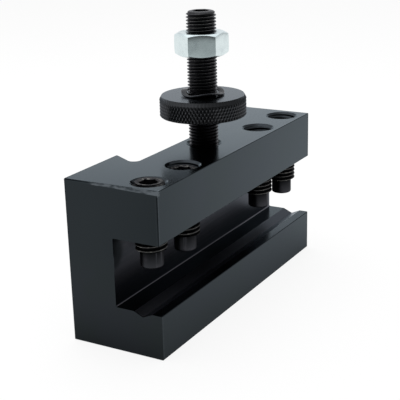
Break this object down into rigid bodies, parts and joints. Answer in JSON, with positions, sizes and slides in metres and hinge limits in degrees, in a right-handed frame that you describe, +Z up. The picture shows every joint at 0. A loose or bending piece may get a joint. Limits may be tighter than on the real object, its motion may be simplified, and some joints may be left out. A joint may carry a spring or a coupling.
{
  "type": "quick change tool holder",
  "caption": "Steel block with a tool slot, clamp screws, a dovetail socket, and a height stud with knurled wheel, wave washer and lock nut.",
  "frame": {"origin": "middle of the block's underside", "axes": "+X along the block, +Y from the tool slot in front to the dovetail socket behind, +Z up along the height stud"},
  "size_m": [0.1524, 0.047, 0.1384],
  "materials": {
    "blackened_block": "satin",
    "black_stud": "satin",
    "black_wheel": "satin",
    "spring_washer": "satin",
    "zinc_nut": "satin",
    "black_screw": "satin"
  },
  "bodies": {
    "holder": {"holder_body": "blackened_block", "height_stud": "black_stud"},
    "washer": {"wave_washer": "spring_washer"},
    "wheel": {"knurled_wheel": "black_wheel"},
    "nut": {"lock_nut": "zinc_nut"},
    "screw_1": {"clamp_screw_1": "black_screw"},
    "screw_2": {"clamp_screw_2": "black_screw"},
    "screw_3": {"clamp_screw_3": "black_screw"},
    "screw_4": {"clamp_screw_4": "black_screw"}
  },
  "joints": [
    {"name": "clamp_screw_1_travel", "type": "slide", "parent": "holder", "child": "screw_1", "axis": [0, 0, 1], "range_m": [-0.0176, 0.0138]},
    {"name": "clamp_screw_2_travel", "type": "slide", "parent": "holder", "child": "screw_2", "axis": [0, 0, 1], "range_m": [-0.0157, 0.0157]},
    {"name": "clamp_screw_3_travel", "type": "slide", "parent": "holder", "child": "screw_3", "axis": [0, 0, 1], "range_m": [-0.0139, 0.0175]},
    {"name": "clamp_screw_4_travel", "type": "slide", "parent": "holder", "child": "screw_4", "axis": [0, 0, 1], "range_m": [-0.0133, 0.0181]},
    {"name": "wheel_travel", "type": "slide", "parent": "holder", "child": "washer", "axis": [0, 0, 1], "range_m": [-0.0135, 0.0159]},
    {"name": "wheel_turn", "type": "hinge", "parent": "washer", "child": "wheel", "pos_m": [0, -0.00255, 0.09445], "axis": [0, 0, 1], "range_deg": [-3240, 3815]},
    {"name": "lock_nut_travel", "type": "slide", "parent": "holder", "child": "nut", "axis": [0, 0, 1], "range_m": [-0.0159, 0.0097]}
  ],
  "couplings": [
    {"joint": "wheel_travel", "follows": "wheel_turn", "m_per_rad": 0.00023873}
  ]
}
